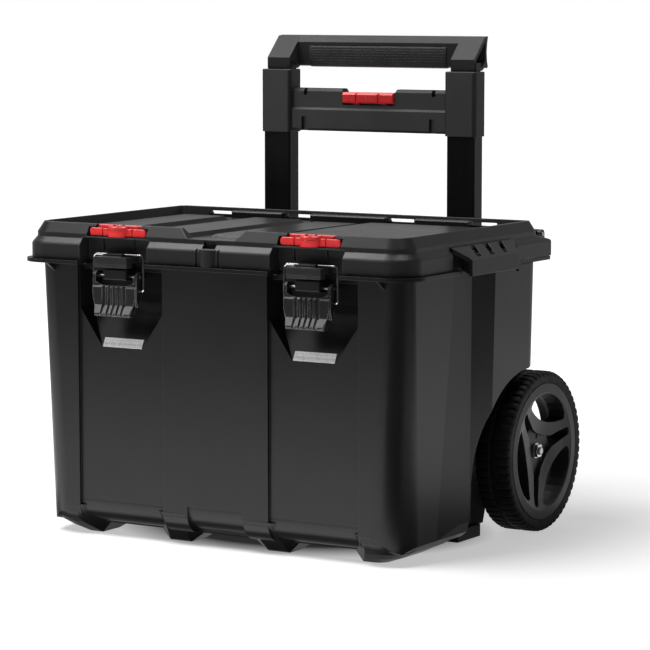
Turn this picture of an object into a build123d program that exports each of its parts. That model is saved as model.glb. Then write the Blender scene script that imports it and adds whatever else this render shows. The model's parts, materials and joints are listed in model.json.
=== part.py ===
from build123d import *
import os
from math import cos, sin, radians, tan, atan2, pi

# Rolling carpenter's toolbox with a two-stage pull handle and two wheels.
# Millimetres. +X is the box's right hand side seen from the front, the front
# faces -Y, +Z is up and the floor is Z = 0.

os.makedirs("parts", exist_ok=True)

# ---------------------------------------------------------------- dimensions
# the layout is drawn with Y = 0 at the latch levers' front and is moved at the
# end so that the whole object's box is centred on X and Y
WALL = 3.0                 # moulded wall thickness

Z_FLOOR = 14.0             # underside of the bin between its feet
Z_RIM = 337.0              # underside of the bin's rim flange
RIM_T = 4.5                # rim flange thickness
FRONT_HW = 261.5           # bin half width, front part
REAR_HW = 275.0            # bin half width, rear part
Y_BODY0 = 11.0             # front face of the columns
Y_BODY1 = 323.0            # rear wall
STEP_Y0, STEP_Y1 = 170.0, 206.0   # the side's outward step
FLANGE_HW = 279.0
FLANGE_Y0, FLANGE_Y1 = -9.0, 355.0

XL = 136.5                 # latches and handle tubes stand at +-XL
COL_X = 75.0               # centre column half width
COR_X = 199.0              # inner edge of the corner columns
Y_PANEL = 15.5             # front recessed panels

SKIRT_HW = 273.0           # lid skirt
SKIRT_Y0, SKIRT_Y1 = -3.0, 362.0
TIER_HW = 266.5            # lid upper tier
TIER_Y0, TIER_Y1 = 4.0, 338.0
TOP_HW = 259.0             # lid rim top edge
TOP_Y0, TOP_Y1 = 11.5, 331.0
Z_SKIRT0, Z_SKIRT1 = 342.0, 361.7
Z_TIER0, Z_TIER1 = 367.0, 373.5
Z_TOP = 386.0
Z_PANEL = 372.0            # lid top panel
BAY0, BAY1 = 87.0, 186.0   # latch bay in the lid, |X| range
Y_BAY = 18.5               # back wall of the latch bay

HINGE_Y, HINGE_Z = 361.0, 367.0
HINGE_X = (-240.0, 0.0, 240.0)
PIN_R = 2.5

WHEEL_Y, WHEEL_R = 332.0, 100.0
WHEEL_Z = WHEEL_R
WHEEL_X0, WHEEL_X1 = 233.0, 279.0
TYRE_RI = 85.0
WINDOW_R = 72.0            # outer edge of the wheel's windows
AXLE_R = 6.0
WELL_X = 222.0             # inner wall of the wheel wells

TUBE_W, TUBE_D, TUBE_T = 39.8, 23.0, 1.4
TUBE_Y0 = 369.8
TUBE_YC = TUBE_Y0 + TUBE_D / 2
TUBE_Z0, TUBE_Z1 = 180.0, 561.0
INNER_W, INNER_D = 35.8, 15.6
INNER_YC = 383.4
INNER_Z0 = 190.0
SLV_Z0, SLV_Z1 = 484.5, 566.0
SLV_W, SLV_D = 44.6, 29.0
BEAM_DY = -4.2             # beam and button stand this far forward of their drawing
GUIDE_Z0, GUIDE_Z1 = 72.0, 330.0

LEV_PY, LEV_PZ = 9.0, 324.0      # lever pivot
BAIL_PY, BAIL_PZ = 9.0, 307.0    # bail pivot in the lever
WIRE_R = 1.5

Y_MIN = FLANGE_Y0
Y_MAX = WHEEL_Y + WHEEL_R
YM = (Y_MIN + Y_MAX) / 2         # moved to Y = 0 at export


# ------------------------------------------------------------------- helpers
def box(x0, x1, y0, y1, z0, z1):
    return Pos((x0 + x1) / 2, (y0 + y1) / 2, (z0 + z1) / 2) * Box(
        abs(x1 - x0), abs(y1 - y0), abs(z1 - z0))


def face_of(pts):
    return make_face(Polyline(*pts, close=True))


def yz(pts, x0, x1):
    """Polygon drawn in (Y, Z), extruded from x0 to x1."""
    return extrude(Plane.YZ.offset(x0) * face_of(pts), x1 - x0)


def xz(pts, y0, y1):
    """Polygon drawn in (X, Z), extruded from y0 to y1."""
    return extrude(Plane.XZ.offset(-y1) * face_of(pts), y1 - y0)


def xy(pts, z0, z1):
    return extrude(Plane.XY.offset(z0) * face_of(pts), z1 - z0)


def rr(hw, y0, y1, rf, rb, z):
    """Rounded rectangle face, symmetric in X, own radii front and back."""
    ln = FilletPolyline((-hw, y0), (hw, y0), (hw, y1), (-hw, y1),
                        radius=[rf, rf, rb, rb], close=True)
    return Plane.XY.offset(z) * make_face(ln)


def slab(hw, y0, y1, rf, rb, z0, z1):
    return extrude(rr(hw, y0, y1, rf, rb, z0), z1 - z0)


def taper(a, b):
    return loft([a, b], ruled=True)


def cyl_x(r, y, z, x0, x1):
    return Pos((x0 + x1) / 2, y, z) * Rot(0, 90, 0) * Cylinder(r, abs(x1 - x0))


def cyl_y(r, x, z, y0, y1):
    return Pos(x, (y0 + y1) / 2, z) * Rot(90, 0, 0) * Cylinder(r, abs(y1 - y0))


def cyl_z(r, x, y, z0, z1):
    return Pos(x, y, (z0 + z1) / 2) * Cylinder(r, abs(z1 - z0))


def mir(s):
    return mirror(s, about=Plane.YZ)


def save(name, *shapes):
    solids = []
    for s in shapes:
        solids += [Pos(0, -YM, 0) * k for k in s.solids()]
    export_step(Compound(children=solids) if len(solids) > 1 else solids[0],
                f"parts/{name}.step")
    v = sum(k.volume for k in solids)
    bb = Compound(children=solids).bounding_box() if len(solids) > 1 else solids[0].bounding_box()
    print(f"{name:26s} solids {len(solids)} vol {v/1000:9.2f} cm3  "
          f"x {bb.min.X:.1f}..{bb.max.X:.1f} y {bb.min.Y:.1f}..{bb.max.Y:.1f} z {bb.min.Z:.1f}..{bb.max.Z:.1f}")


# ----------------------------------------------------------------------- bin
def body_face(z, fhw, shw, rhw, ym, y0, y1, rf, rb, grow=0.0):
    # the side runs straight back to ym and then leans out to the step
    ln = FilletPolyline((-fhw, y0), (fhw, y0), (fhw + 0.2, ym), (shw, STEP_Y0 + grow), (rhw, STEP_Y1 + grow),
                        (rhw, y1), (-rhw, y1), (-rhw, STEP_Y1 + grow), (-shw, STEP_Y0 + grow), (-fhw - 0.2, ym),
                        radius=[rf, rf, 6, 4, 4, rb, rb, 4, 4, 6], close=True)
    return Plane.XY.offset(z) * make_face(ln)


def front_arc(dy, dz, x0, x1):
    """Everything in front of and below the rounded lower front edge."""
    e = [Line((-40, 44 + dz), (11.4 + dy, 44 + dz)),
         ThreePointArc((11.4 + dy, 44 + dz), (17.5 + dy, 23.5 + dz), (36 + dy, 13.95 + dz)),
         Line((36 + dy, 13.95 + dz), (36 + dy, -10)),
         Line((36 + dy, -10), (-40, -10)),
         Line((-40, -10), (-40, 44 + dz))]
    return extrude(Plane.YZ.offset(x0) * make_face(e), x1 - x0)


outer = taper(body_face(Z_FLOOR, 255.5, 260.5, 268, 97, Y_BODY0 + 1, Y_BODY1, 42, 24),
              body_face(Z_RIM, FRONT_HW, FRONT_HW + 1, REAR_HW, 130, Y_BODY0, Y_BODY1, 26, 25))
inner = taper(body_face(Z_FLOOR + WALL, 252.5, 257.5, 265, 98, Y_BODY0 + 4, Y_BODY1 - WALL, 40, 21, 1.5),
              body_face(Z_RIM - 4, FRONT_HW - WALL, FRONT_HW + 1 - WALL, REAR_HW - WALL, 130, Y_BODY0 + WALL,
                        Y_BODY1 - WALL, 23, 22, 1.5))

# recessed front panels
for s in (-1, 1):
    x0, x1 = sorted((s * COL_X, s * COR_X))
    outer -= box(x0, x1, -40, Y_PANEL, -10, Z_RIM - 1)
    outer -= front_arc(4.5, 2, x0, x1)
    inner -= box(x0 - WALL, x1 + WALL, -40, Y_PANEL + WALL, -10, Z_RIM + 5)
outer -= front_arc(0, 0, -300, 300)
outer -= front_arc(2.5, 5, -40, 40)
inner -= front_arc(8, 6, -300, 300)

# rounded lower edge along the sides
def side_arc(d):
    e = [Line((241 - d, 13.9 + d), (249 - d, 16 + d)), Line((249 - d, 16 + d), (256 - d, 22 + d)),
         Line((256 - d, 22 + d), (259 - d, 34 + d)), Line((259 - d, 34 + d), (320, 34 + d)),
         Line((320, 34 + d), (320, -10)), Line((320, -10), (241 - d, -10)), Line((241 - d, -10), (241 - d, 13.9 + d))]
    return extrude(Plane.XZ.offset(-500) * make_face(e), 540)


outer -= side_arc(0)
outer -= mir(side_arc(0))
inner -= side_arc(3)
inner -= mir(side_arc(3))

# feet under the front edge: truncated pyramids whose faces lean back to the
# floor and whose sides spread out behind, the corner ones wrapping the corners
def cut_plane(shape, p, q, r, inside):
    """Keeps the side of the plane through p, q and r that holds the point inside."""
    pl = Plane(origin=p, x_dir=Vector(*q) - Vector(*p), z_dir=(Vector(*q) - Vector(*p)).cross(Vector(*r) - Vector(*p)))
    keep = Keep.TOP if (Vector(*inside) - Vector(*p)).dot(pl.z_dir) > 0 else Keep.BOTTOM
    return split(shape, bisect_by=pl, keep=keep)


foot_rings = [rr(216, 43.5, 300, 14, 5, 0), rr(236.5, 33.2, 300, 25, 5, 7), rr(249, 23.4, 300, 33, 5, 14),
              rr(254.0, 16.4, 300, 38, 5, 20), rr(255.5, 12.2, 300, 41, 5, 27)]
foot_hull = slab(255.5, 12.2, 300, 41, 5, 27, 40)
for f0, f1 in zip(foot_rings, foot_rings[1:]):
    foot_hull += taper(f0, f1)
mid = box(20, 120, 9, 100, 0, 40)
mid -= yz([(-20, 46), (11.1, 46), (11.4, 38), (13.6, 33.5), (41.5, 1.6), (44, 0), (44, -5), (-20, -5)], -300, 300)
mid = cut_plane(mid, (75, 11, 36), (99.7, 44.7, 14), (85.8, 43.3, 0), (70, 60, 10))
mid = cut_plane(mid, (41, 11, 40), (35.3, 44.7, 14), (55.2, 44, 0), (70, 60, 10))
mid = cut_plane(mid, (99.7, 0, 14), (99.7, 90, 14), (85.8, 50, 0), (70, 60, 10))
mid = cut_plane(mid, (35.3, 0, 14), (35.3, 90, 14), (55.2, 50, 0), (70, 60, 10))
mid = cut_plane(mid, (0, 92, 14), (50, 92, 14), (0, 72, 0), (70, 60, 10))
cor = box(150, 262, 9, 158, 0, 38)
cor = cut_plane(cor, (199, 11, 36), (174.5, 45, 15), (187, 44.3, 0), (215, 70, 10))
cor = cut_plane(cor, (174.5, 0, 15), (174.5, 90, 15), (187, 50, 0), (215, 70, 10))
cor &= yz([(9, 45), (9, -1), (76, -1), (78, 0), (112, 10), (156, 21), (156, 45)], 150, 300)
cor &= foot_hull
feet = None
for f in (mid, cor):
    feet = f if feet is None else feet + f
    feet += mir(f)
# the rear pads of the front half
for s in (-1, 1):
    feet += box(*sorted((s * 190, s * 226)), 205, 262, 0, Z_FLOOR + 1)

# latch pockets: upright walls, and a floor that slopes in and then turns upright
RAMP = tan(radians(27.8))


def pocket(cx, grow=0.0):
    g = grow
    p = [(-62 - g, Z_RIM - 1 + g), (-62 - g, 283 - g), (-29 - g, 235 - g),
         (29 + g, 235 - g), (62 + g, 283 - g), (62 + g, Z_RIM - 1 + g)]
    q = [(-59.5 - g, Z_RIM - 1 + g), (-59.5 - g, 284 - g), (-27.5 - g, 237 - g),
         (27.5 + g, 237 - g), (59.5 + g, 284 - g), (59.5 + g, Z_RIM - 1 + g)]
    a = Plane.XZ.offset(40) * face_of([(cx + x, z) for x, z in p])
    b = Plane.XZ.offset(-Y_PANEL) * face_of([(cx + x, z) for x, z in p])
    c = Plane.XZ.offset(-60) * face_of([(cx + x, z) for x, z in q])
    body = loft([a, b], ruled=True) + loft([b, c], ruled=True)
    d = g / cos(radians(27.8))
    y = lambda z: Y_PANEL + (z - 235) * RAMP + d
    prof = [(-50, 225), (y(225), 225), (y(276), 276), (y(284) - 0.7, 284), (44.2 + g, 293), (45.7 + g, 301), (46 + g, 312),
            (46 + g, 345), (-50, 345)]
    return body & yz(prof, cx - 80, cx + 80)


for s in (-1, 1):
    outer -= pocket(s * XL)
    outer -= box(s * XL - 61.5, s * XL + 61.5, -20, Y_PANEL + 0.2, 283, Z_RIM - 1)
    inner -= pocket(s * XL, WALL)

# wheel wells and the open space for the axle under the back edge
def well(x0, x1, r, y0, z1):
    return cyl_x(r, 300, 80, x0, x1) + cyl_x(r - 15, WHEEL_Y, WHEEL_Z, x0, x1) + box(x0, x1, y0, 470, -10, z1)


for s in (-1, 1):
    a, b = sorted((s * WELL_X, s * 320))
    outer -= well(a, b, 127, 172, 85)
    a, b = sorted((s * (WELL_X - WALL), s * 320))
    inner -= well(a, b, 130, 169, 88)
outer -= yz([(276, Z_FLOOR - 1), (279, 22), (300, 78), (304, 116), (308, 120), (360, 124), (360, -10), (276, -10)], -320, 320)
inner -= yz([(271, -10), (274, 24), (296, 80), (300, 119), (305, 124), (370, 128), (370, -10)], -320, 320)

bin_ = outer + feet

# rim flange, upstand that the lid closes over, and hinge lugs
flange = slab(FLANGE_HW, FLANGE_Y0, FLANGE_Y1, 37, 12, Z_RIM, Z_RIM + RIM_T)
for s in (-1, 1):
    flange -= box(*sorted((s * (BAY0 + 1), s * (BAY1 - 1))), -30, Y_BAY + 3, Z_RIM - 2, Z_RIM + 6)
    bin_ -= box(*sorted((s * (BAY0 + 1), s * (BAY1 - 1))), -30, Y_BAY + 3, Z_RIM - 2, Z_RIM + 1)
    flange -= box(*sorted((s * 271.5, s * 300)), 115, 252, Z_RIM - 2, Z_RIM + 6)
    flange -= box(*sorted((s * 273.2, s * 300)), 251, 400, Z_RIM - 2, Z_RIM + 6)
    flange -= box(*sorted((s * (XL - 30), s * (XL + 30))), 350, 380, Z_RIM - 2, Z_RIM + 6)
flange -= yz([(350, Z_RIM - 1), (352.5, Z_RIM), (355.1, Z_RIM + 4), (360, Z_RIM + 4), (360, Z_RIM - 1)], -300, 300)
bin_ += flange
# small ribs under the flange's front corners
for s in (-1, 1):
    bin_ += yz([(-7, Z_RIM + 0.5), (12, Z_RIM + 0.5), (12, 325.5), (9, 327)], *sorted((s * 232.2, s * 234.8)))
bin_ += slab(256, 24, 328, 22, 22, Z_RIM - 8, 364)
inner += slab(253, 27, 325, 19, 19, Z_RIM - 5, 370)
bin_ -= inner


def lug(xc):
    a = None
    for x0, x1 in ((xc - 18, xc - 12), (xc + 12, xc + 18)):
        k = cyl_x(6, HINGE_Y, HINGE_Z, x0, x1) + box(x0, x1, 353, 367, 345, HINGE_Z)
        if abs(x0 + x1) > 500:
            # the outermost plates stand on the flange alone
            k += yz([(340, Z_RIM), (340, Z_RIM + 3), (353, Z_RIM + 3), (353, 350), (367, 350), (367, 345), (360.5, Z_RIM)], x0, x1)
        else:
            k += yz([(321.5, 296), (321.5, 334), (330, Z_RIM + 1), (353, Z_RIM + 1), (353, 350), (367, 350), (367, 345), (360, Z_RIM), (348, 322), (326, 296)], x0, x1)
        k -= cyl_x(PIN_R, HINGE_Y, HINGE_Z, x0 - 1, x1 + 1)
        a = k if a is None else a + k
    return a


for xc in HINGE_X:
    bin_ += lug(xc)

# latch brackets between the lever's ears
for s in (-1, 1):
    c = s * XL
    b = box(c - 17, c + 17, 0.6, 46.5, 319.5, 332.5)
    b = fillet([e for e in b.edges() if abs(e.center().Y - 0.6) < 0.1], 1.5)
    b -= cyl_x(1.5, LEV_PY, LEV_PZ, c - 40, c + 40)
    bin_ += b

# axle brackets
for s in (-1, 1):
    x0, x1 = sorted((s * 196, s * 212))
    b = yz([(296, 70), (303, 121), (344, 123.5), (346, 112), (347, 92), (341, 85), (318, 84)], x0, x1)
    b -= cyl_x(AXLE_R + 0.05, WHEEL_Y, WHEEL_Z, x0 - 1, x1 + 1)
    bin_ += b
save("bin", bin_)

# ---------------------------------------------------------- side carry handles
# a sloping slotted plate with a lip to pull on, standing on the rim flange in a
# gap of the lid's skirt
def side_handle():
    prof = [(267.3, Z_RIM + RIM_T), (267.3, 368.6), (269.3, 368.6), (287, 353.4), (287, 335),
            (283.6, 335), (283.6, 351.4), (270.6, 362.6), (270.6, Z_RIM + RIM_T)]
    h = xz(prof, 107, 261)
    # the plan narrows towards the lip
    h -= xy([(270.6, 100), (270.6, 107), (283, 124), (287.5, 126), (300, 126), (300, 100)], 300, 400)
    h -= xy([(270.6, 270), (270.6, 261), (283, 246), (287.5, 244), (300, 244), (300, 270)], 300, 400)
    # end webs close the hollow
    for y0 in (126.0, 240.0):
        h += xz([(270, Z_RIM + 8), (270, 363), (284, 351), (284, 337), (281, 337)], y0, y0 + 4)
    # three slots down the slope, a hole at the top of each and a shallow groove
    # running down from it; they lean a little towards the front
    for yt, yb in ((157.6, 150.7), (191.2, 184.1), (226.2, 217.6)):
        def at(x):
            return yt + (yb - yt) * (x - 266.5) / 15.0
        h -= xy([(271.0, at(271.0) - 5.8), (271.0, at(271.0) + 5.8), (275.4, at(275.4) + 5.6), (275.4, at(275.4) - 5.6)], 350, 380)
        h -= xy([(269.4, at(269.4) - 5.8), (269.4, at(269.4) + 5.8), (275.4, at(275.4) + 5.6), (275.4, at(275.4) - 5.6)], 366.2, 380)
        h -= xz([(275.2, 380), (275.2, 360.3), (283.4, 353.4), (283.4, 380)], 100, 300) & \
            xy([(274, at(274) - 5.6), (274, at(274) + 5.6), (283.4, at(283.4) + 5.2), (283.4, at(283.4) - 5.2)], 350, 380)
    # stop rib at the rear end
    h += xz([(283.4, 331.5), (287, 331.5), (287, 353.4), (283.6, 356)], 243.0, 246.2)
    return h


sh = side_handle()
save("side_handle_right", sh)
save("side_handle_left", mir(sh))

# ----------------------------------------------------------------------- lid
lid = slab(SKIRT_HW, SKIRT_Y0, SKIRT_Y1, 32, 8, Z_SKIRT0, Z_SKIRT1 - 2)
lid += taper(rr(SKIRT_HW, SKIRT_Y0, SKIRT_Y1, 32, 8, Z_SKIRT1 - 2),
             rr(SKIRT_HW - 1.2, SKIRT_Y0 + 1.2, SKIRT_Y1 - 1.2, 31, 7, Z_SKIRT1))
lid += taper(rr(SKIRT_HW - 1.2, SKIRT_Y0 + 1.2, SKIRT_Y1 - 1.2, 31, 7, Z_SKIRT1),
             rr(TIER_HW, TIER_Y0, TIER_Y1, 26, 16, Z_TIER0 + 1.2))
lid += slab(TIER_HW, TIER_Y0, TIER_Y1, 26, 16, Z_TIER0 + 1.2, Z_TIER1)
lid += taper(rr(TIER_HW, TIER_Y0, TIER_Y1, 26, 16, Z_TIER1),
             rr(TOP_HW, TOP_Y0, TOP_Y1, 20, 10, Z_TOP))
# the sunk top panel
lid -= taper(rr(TOP_HW - 9, TOP_Y0 + 9, TOP_Y1 - 7, 14, 8, Z_PANEL),
             rr(TOP_HW - 4, TOP_Y0 + 4, TOP_Y1 - 3.5, 17, 8, Z_TOP + 0.01))
# raised pads on the panel
def pad(x0, x1, y0, y1, z1, c=5.0):
    a = Plane.XY.offset(Z_PANEL - 0.5) * face_of([(x0, y0), (x1, y0), (x1, y1), (x0, y1)])
    b = Plane.XY.offset(z1) * face_of([(x0 + c, y0 + c), (x1 - c, y0 + c), (x1 - c, y1 - c), (x0 + c, y1 - c)])
    return loft([a, b], ruled=True)


lid += pad(-128, -50, 28, 300, 377.5)
lid += pad(-236, -166, 28, 300, 377.5)
lid += loft([Plane.XY.offset(Z_PANEL - 0.5) * face_of([(66, 28), (236, 28), (236, 300), (46, 300), (46, 62)]),
             Plane.XY.offset(377.5) * face_of([(68, 33), (231, 33), (231, 295), (51, 295), (51, 64)])], ruled=True)
lid += pad(-36, 30, 60, 300, 375.5, 3.0)

# hollow underneath
# blocks on the inside of the rear rim, between its windows
for x0, x1 in ((-176.5, -98), (-56, 56), (98, 176.5)):
    blk = box(x0, x1, 320.0, 327.6, Z_PANEL - 1, 382.0)
    lid += chamfer([e for e in blk.edges() if e.center().Y < 320.1 and e.center().Z > Z_PANEL], 1.4)

hollow = slab(SKIRT_HW - WALL, SKIRT_Y0 + WALL, 352.0, 29, 6, Z_SKIRT0 - 5, 358.0)
hollow += slab(TIER_HW - 3.4, TIER_Y0 + 3.4, TIER_Y1 - 3.4, 23, 13, 350, 369.0)
for s in (-1, 1):
    hollow -= box(*sorted((s * (BAY0 - WALL), s * (BAY1 + WALL))), -40, Y_BAY + WALL, 300, 400)
    hollow -= box(*sorted((s * (TIER_HW - 3.4), s * 320)), 101, 267, 300, 400)
lid -= hollow
for s in (-1, 1):
    # latch bay, push-tab pocket
    lid -= box(*sorted((s * BAY0, s * BAY1)), -40, Y_BAY, Z_SKIRT0 - 5, 369.4)
    lid -= box(s * XL - 43.5, s * XL + 43.5, -40, 18.6, 371.2, 382.5)
    lid -= box(s * XL - 33.5, s * XL + 33.5, -40, 18.6, 371.2, 390)
    # gap for the side handle
    lid -= box(*sorted((s * (TIER_HW + 0.2), s * 320)), 103.5, 264.5, Z_SKIRT0 - 5, 371)
    # windows through the rear rim
    for xc in (76.0, 194.0):
        w = box(s * xc - 19, s * xc + 19, 315, 350, 376.6, 381.2)
        w = fillet(w.edges().filter_by(Axis.Y), 1.6)
        lid -= w
        lid -= box(s * xc - 19, s * xc + 19, 318, 329, Z_PANEL + 0.6, 377.0)
for s in (-1, 1):
    c = s * XL
    lid += yz([(18.6, 370), (18.6, 384.4), (19.6, 385.4), (22, 385.4), (25, 370)], c - 46, c + 46)
    lid += yz([(24.0, 370), (24.0, 384.4), (25, 385.4), (26.5, 385.4), (30, 370)], c - 37, c + 37)
    lid -= box(c - 43.5, c + 43.5, -40, 18.6, 371.2, 382.5)
    lid -= box(c - 33.5, c + 33.5, -40, 24.0, 371.2, 390)
# finger gap in the front rim
lid -= xz([(-34, Z_TIER1 + 0.5), (34, Z_TIER1 + 0.5), (47, 387), (-47, 387)], -10, 24)

# half round boss at the middle of the front skirt, with the slot above it
lid += cyl_z(14.5, 0, 6, Z_SKIRT0, 362.5) & box(-20, 20, -12, 3, 330, 370)
lid -= box(-9, 9, -20, 7.0, 363.4, 372.4)
for s in (-1, 1):
    lid -= box(*sorted((s * 14.3, s * 16.6)), -20, -0.6, 330, 363)

# the skirt's back edge is half round
lid -= yz([(346, Z_SKIRT0 - 2), (346, 367), (366, 367), (366, Z_SKIRT0 - 2)], -300, 300) - cyl_x(14.2, 346, 351.2, -301, 301)
# rear skirt openings for the bin's lugs, and the lid's own knuckles
for xc in HINGE_X:
    lid -= box(xc - 19.5, xc + 19.5, 349, 380, Z_SKIRT0 - 5, 366)
    k = cyl_x(6, HINGE_Y, HINGE_Z, xc - 11.5, xc + 11.5)
    k += yz([(336, 362), (336, 370.5), (345, 373), (361, 373), (361, 361.5)], xc - 11.5, xc + 11.5)
    k -= cyl_x(PIN_R + 0.05, HINGE_Y, HINGE_Z, xc - 20, xc + 20)
    lid += k

# strikes that the bails hook over
for s in (-1, 1):
    c = s * XL
    st = box(c - 23.5, c + 23.5, -8.0, 21.0, 341.0, 348.1)
    st += box(c - 23.5, c + 23.5, -8.0, 3.0, 335.2, 342.0)
    st += yz([(-1.5, 347), (-0.5, 351.4), (5.0, 352.4), (5.0, 347)], c - 12, c + 12)
    st -= box(c - 30, c + 30, -9.0, -7.2, 338.0, 338.8)
    lid += st
    # narrow tapering grooves in the back wall of the bay
    for xr in (-27.0, 18.0):
        lid -= xz([(c + xr - 2.6, 371), (c + xr + 2.6, 371), (c + xr + 0.8, 353), (c + xr - 0.8, 353)], 17, 20.3)
save("lid", lid)

seal = slab(257.5, 22.5, 329.5, 23, 23, 364.4, 369.0) - slab(251.5, 28.5, 323.5, 18, 18, 360, 372)
save("lid_seal", seal)

pins = [cyl_x(PIN_R, HINGE_Y, HINGE_Z, xc - 19, xc + 19) for xc in HINGE_X]
save("hinge_pins", *pins)

# ------------------------------------------------------------------- latches
def lever(c):
    hw_t, hw_m, hw_b = 32.0, 31.0, 24.5
    plate = xz([(c - hw_b, 276.5), (c + hw_b, 276.5), (c + hw_m, 298), (c + hw_t, 314),
                (c + hw_t - 6, 316.5), (c + 24, 314.5), (c + 18, 312.8), (c - 18, 312.8), (c - 24, 314.5),
                (c - hw_t + 6, 316.5), (c - hw_t, 314), (c - hw_m, 298)], 0.4, 3.4)
    # pull tab at the lower end stands a little proud
    tab = yz([(3.4, 276.0), (-4.4, 275.4), (-5.4, 276.4), (-5.2, 277.8), (0.4, 287.6), (3.4, 288.5)], c - 40, c + 40)
    tab &= xz([(c - hw_b, 270), (c + hw_b, 270), (c + hw_b + 3.6, 290), (c - hw_b - 3.6, 290)], -10, 10)
    lv = plate + tab
    for s in (-1, 1):
        ear = yz([(0.4, 298), (0.4, 326), (4, 329.5), (12, 329.5), (14.5, 326), (14.5, 306), (9, 296), (3.4, 288)],
                 *sorted((c + s * 28.2, c + s * 32.0)))
        lv += ear
        # flange that stiffens the tapering lower edge
        lv += xy([(c + s * 24.5, 0.6), (c + s * 32, 0.6), (c + s * 32, 9), (c + s * 24.5, 9)], 276.5, 300) & \
            (xz([(c + s * 24.5, 276.5), (c + s * 31, 298), (c + s * 31, 301), (c + s * 28, 301), (c + s * 28, 298), (c + s * 21.7, 276.5)], 0, 9)
             - yz([(3.4, 270), (9.2, 296), (12, 296), (12, 270)], c - 40, c + 40))
    # ribs on the face
    prof = [(2.0, 312.4), (-0.2, 312.4), (-1.5, 310.8), (-1.5, 289.2), (-6.6, 279.4), (-6.8, 277.6), (-5.6, 276.2), (2.0, 276.2)]
    for xr in (-10.7, -3.6, 3.6, 10.7):
        lv += yz(prof, c + xr - 1.7, c + xr + 1.7)
    for s in (-1, 1):
        band = yz([(y, z - 0.2 if z > 300 else z) for y, z in prof], *sorted((c + s * 17.4, c + s * 40)))
        lv += band & xz([(c + s * 17, 270), (c + s * 24.2, 270), (c + s * 24.5, 276.5), (c + s * 31, 298), (c + s * 31.4, 320), (c + s * 17, 320)], -20, 20)
    lv -= cyl_x(1.55, LEV_PY, LEV_PZ, c - 40, c + 40)
    lv -= cyl_x(1.55, BAIL_PY, BAIL_PZ, c - 40, c + 40)
    return lv


def bail(c):
    hw = 36.4
    zt, zb = 350.0, BAIL_PZ
    pts = [(c - 29.0, zb), (c - hw, zb), (c - hw, zt), (c + hw, zt), (c + hw, zb), (c + 29.0, zb)]
    path = Plane.XZ.offset(-BAIL_PY) * FilletPolyline(*pts, radius=[2.6, 5, 5, 2.6])
    start = Plane(origin=path @ 0, z_dir=path % 0)
    return sweep(start * Circle(WIRE_R), path=path)


for s, nm in ((-1, "left"), (1, "right")):
    c = s * XL
    save(f"latch_lever_{nm}", lever(c))
    save(f"latch_bail_{nm}", bail(c))
    save(f"latch_pin_{nm}", cyl_x(1.5, LEV_PY, LEV_PZ, c - 32.6, c + 32.6))
    # push tab that frees a case stacked on the lid
    t = box(c - 41, c + 41, 7.0, 13.2, 371.8, 381.6)
    t = fillet([e for e in t.edges().filter_by(Axis.Y)], 3.6)
    t = chamfer([e for e in t.edges() if abs(e.center().Y - 7.0) < 0.05], 0.8)
    back = xy([(c - 31.5, 13), (c - 31.5, 17), (c - 29.5, 18.6), (c + 29.5, 18.6), (c + 31.5, 17), (c + 31.5, 13), (c + 28, 10), (c - 28, 10)], 374.0, 385.6)
    t += chamfer(back.faces().sort_by(Axis.Z)[-1].edges(), 0.9)
    drum = cyl_z(14.2, c, 12.0, 371.8, 384.6)
    drum = chamfer(drum.edges().sort_by(Axis.Z)[-1], 1.4)
    drum += cyl_z(15.0, c, 12.0, 375.2, 379.6)
    t += drum & box(c - 30, c + 30, -10, 18.6, 360, 390)
    t -= cyl_z(8.2, c, 11.0, 383.8, 390) - cyl_z(4.6, c, 11.0, 380, 391)
    for x in (c - 21.5, c + 21.5):
        t -= box(x - 1.0, x + 1.0, 6, 9.0, 370, 384)
    save(f"stack_tab_{nm}", t)
    # reflective strip on the ramp below the latch
    ang = 27.8
    st = Pos(c, Y_PANEL + 6.0 * tan(radians(ang)), 241.0) * Rot(-ang, 0, 0) * Box(57, 0.8, 12.0)
    st = Pos(0, -0.4 * cos(radians(ang)) - 0.02, 0.4 * sin(radians(ang))) * st
    save(f"reflector_{nm}", st)

# -------------------------------------------------------------------- wheels
def xc_of(x0, x1):
    return (x0 + x1) / 2


def degrees_of(y, z):
    return atan2(z, y) * 180 / pi


def tyre(x0, x1):
    w = x1 - x0
    pts = [(x0 + 2, TYRE_RI), (x1 - 1.6, TYRE_RI), (x1 - 0.6, TYRE_RI + 0.8), (x1, WHEEL_R - 8), (x1, WHEEL_R - 5), (x1 - 1.2, WHEEL_R - 2), (x1 - 4, WHEEL_R),
           (x0 + 5, WHEEL_R), (x0 + 1.5, WHEEL_R - 2), (x0, WHEEL_R - 6), (x0, TYRE_RI + 3)]
    f = Plane.XZ * face_of([(x, r) for x, r in pts])
    t = revolve(f, axis=Axis.X)
    return Pos(0, WHEEL_Y, WHEEL_Z) * t


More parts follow.
